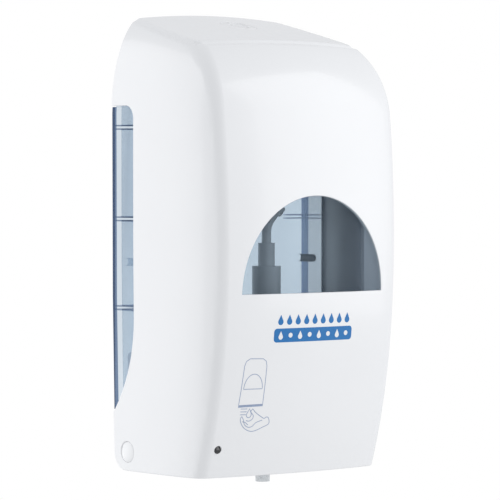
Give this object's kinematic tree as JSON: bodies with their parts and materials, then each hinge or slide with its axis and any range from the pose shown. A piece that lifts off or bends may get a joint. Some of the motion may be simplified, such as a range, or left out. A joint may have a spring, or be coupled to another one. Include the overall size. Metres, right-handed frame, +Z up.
{
  "type": "wall mounted soap dispenser",
  "caption": "Automatic wall soap dispenser: hinged white cover with an arched level window, smoked back shell, soap tank and roller pump.",
  "frame": {"origin": "centre of the four wall screw holes, on the back face against the wall", "axes": "+X to the right as seen from the room, -Y out from the wall into the room, +Z up"},
  "size_m": [0.156, 0.1094, 0.296],
  "materials": {
    "white_shell": "gloss",
    "smoked_lens": "gloss",
    "smoked_shell": "gloss",
    "clear_tank": "gloss",
    "blue_lid": "satin",
    "white_plastic": "satin",
    "grey_plastic": "satin",
    "natural_plastic": "satin",
    "black_plastic": "gloss",
    "ivory_gear": "satin",
    "blue_rotor": "satin",
    "soft_tube": "satin",
    "dark_rubber": "matte",
    "steel": "brushed",
    "brass": "satin",
    "board": "satin",
    "red_led": "gloss",
    "blue_knob": "gloss",
    "cell_wrap": "gloss"
  },
  "bodies": {
    "base": {"back_plate": "smoked_shell", "lock_striker": "steel", "tank_shelf": "smoked_shell", "soap_tank": "clear_tank", "tank_roof": "clear_tank", "lid_pin": "steel", "outlet_valve": "natural_plastic", "valve_seal": "dark_rubber", "pickup_tube": "natural_plastic", "pump_chassis": "white_plastic", "pump_head": "white_plastic", "pump_head_cover": "clear_tank", "pump_tube": "soft_tube", "rotor_bush": "brass", "idler_pin": "steel", "motor": "steel", "gear_cover": "white_plastic", "nozzle": "natural_plastic", "nozzle_grommet": "grey_plastic", "bottom_tray": "white_plastic", "sensor_window": "black_plastic", "sensor_board": "board", "ir_emitter": "clear_tank", "ir_receiver": "black_plastic", "led_holder": "white_plastic", "status_led": "red_led", "control_box": "white_plastic", "control_board": "board", "power_switch": "black_plastic", "battery_box": "white_plastic", "battery_door": "white_plastic", "batteries": "cell_wrap", "battery_contacts": "steel", "chassis_screws": "steel", "pump_screws": "steel", "tray_screws": "steel", "striker_screw": "steel"},
    "cover": {"front_cover": "white_shell", "window_lens": "smoked_lens", "indicator_plug": "black_plastic", "hinge_pins": "white_shell", "lock_housing": "white_shell"},
    "lock": {"lock_cylinder": "white_shell", "lock_cam": "steel", "lock_nut": "steel"},
    "lid": {"tank_lid": "blue_lid", "lid_seal": "dark_rubber"},
    "pump_rotor": {"rotor": "blue_rotor", "rotor_shaft": "steel", "rollers": "ivory_gear", "roller_pins": "steel", "rotor_gear": "ivory_gear"},
    "idler": {"idler_gear": "ivory_gear"},
    "motor_spindle": {"motor_shaft": "steel", "motor_pinion": "brass"},
    "switch": {"switch_knob": "blue_knob"}
  },
  "joints": [
    {"name": "cover_hinge", "type": "hinge", "parent": "base", "child": "cover", "pos_m": [0, -0.0136, -0.122], "axis": [1, 0, 0], "range_deg": [0, 85]},
    {"name": "lock_turn", "type": "hinge", "parent": "cover", "child": "lock", "pos_m": [0, -0.03, 0.14709], "axis": [0, -0.2306, 0.973], "range_deg": [0, 90]},
    {"name": "lid_hinge", "type": "hinge", "parent": "base", "child": "lid", "pos_m": [0, -0.026, 0.103], "axis": [-1, 0, 0], "range_deg": [0, 60]},
    {"name": "rotor_spin", "type": "hinge", "parent": "base", "child": "pump_rotor", "pos_m": [-0.01, -0.05, -0.078], "axis": [0, -1, 0], "continuous": true},
    {"name": "idler_spin", "type": "hinge", "parent": "base", "child": "idler", "pos_m": [0.0128, -0.032, -0.078], "axis": [0, -1, 0], "continuous": true},
    {"name": "motor_spin", "type": "hinge", "parent": "base", "child": "motor_spindle", "pos_m": [0.032, -0.032, -0.078], "axis": [0, -1, 0], "continuous": true},
    {"name": "switch_slide", "type": "slide", "parent": "base", "child": "switch", "axis": [0, 0, 1], "range_m": [0, 0.004]}
  ],
  "couplings": [
    {"joint": "idler_spin", "follows": "rotor_spin", "ratio": -3.75},
    {"joint": "motor_spin", "follows": "rotor_spin", "ratio": 11.25}
  ]
}
